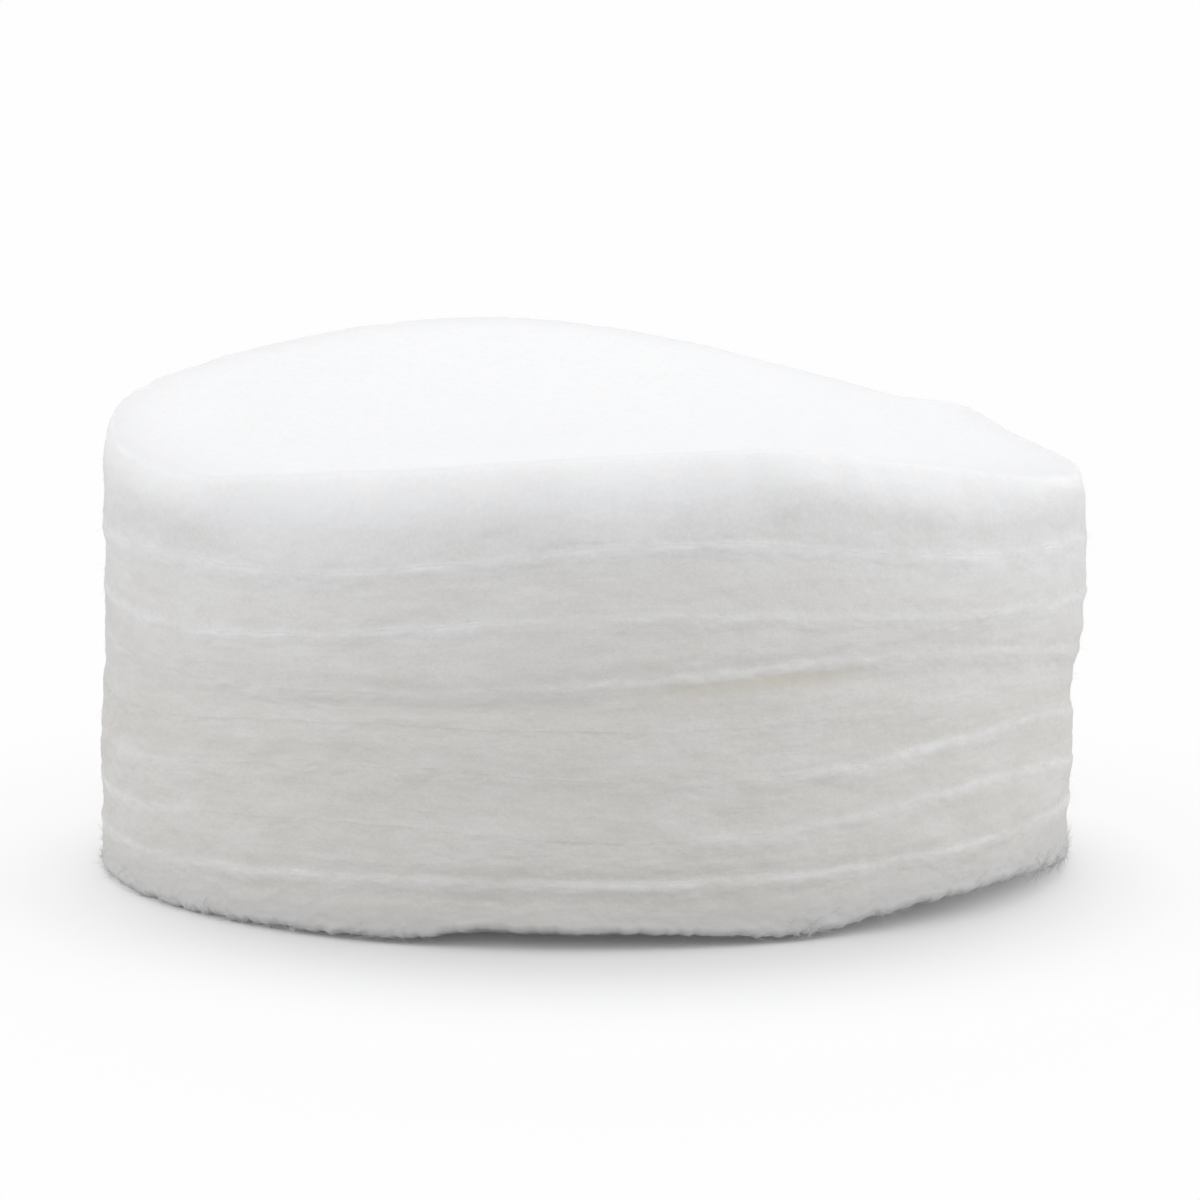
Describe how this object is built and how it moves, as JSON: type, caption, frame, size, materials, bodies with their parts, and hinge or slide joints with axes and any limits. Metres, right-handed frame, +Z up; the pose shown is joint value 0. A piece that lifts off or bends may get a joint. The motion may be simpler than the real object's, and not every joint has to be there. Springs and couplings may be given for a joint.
{
  "type": "stack of round cotton pads",
  "caption": "Squared stack of round cotton pads with wavy pressed seams, a saddle-shaped soft top and a flat underside to stand on.",
  "frame": {"origin": "on the surface the stack stands on, under the middle of its outline", "axes": "+Z up through the pads, +X to the stack's right as pictured, +Y to its back"},
  "size_m": [0.058, 0.0578, 0.0287],
  "materials": {
    "cotton": "bleached cotton fibre, soft and matt, with a fine fuzz"
  },
  "bodies": {
    "root": {"bottom_pad": "cotton", "second_pad": "cotton", "third_pad": "cotton", "fourth_pad": "cotton", "fifth_pad": "cotton", "sixth_pad": "cotton", "seventh_pad": "cotton", "top_pad": "cotton"}
  },
  "joints": []
}
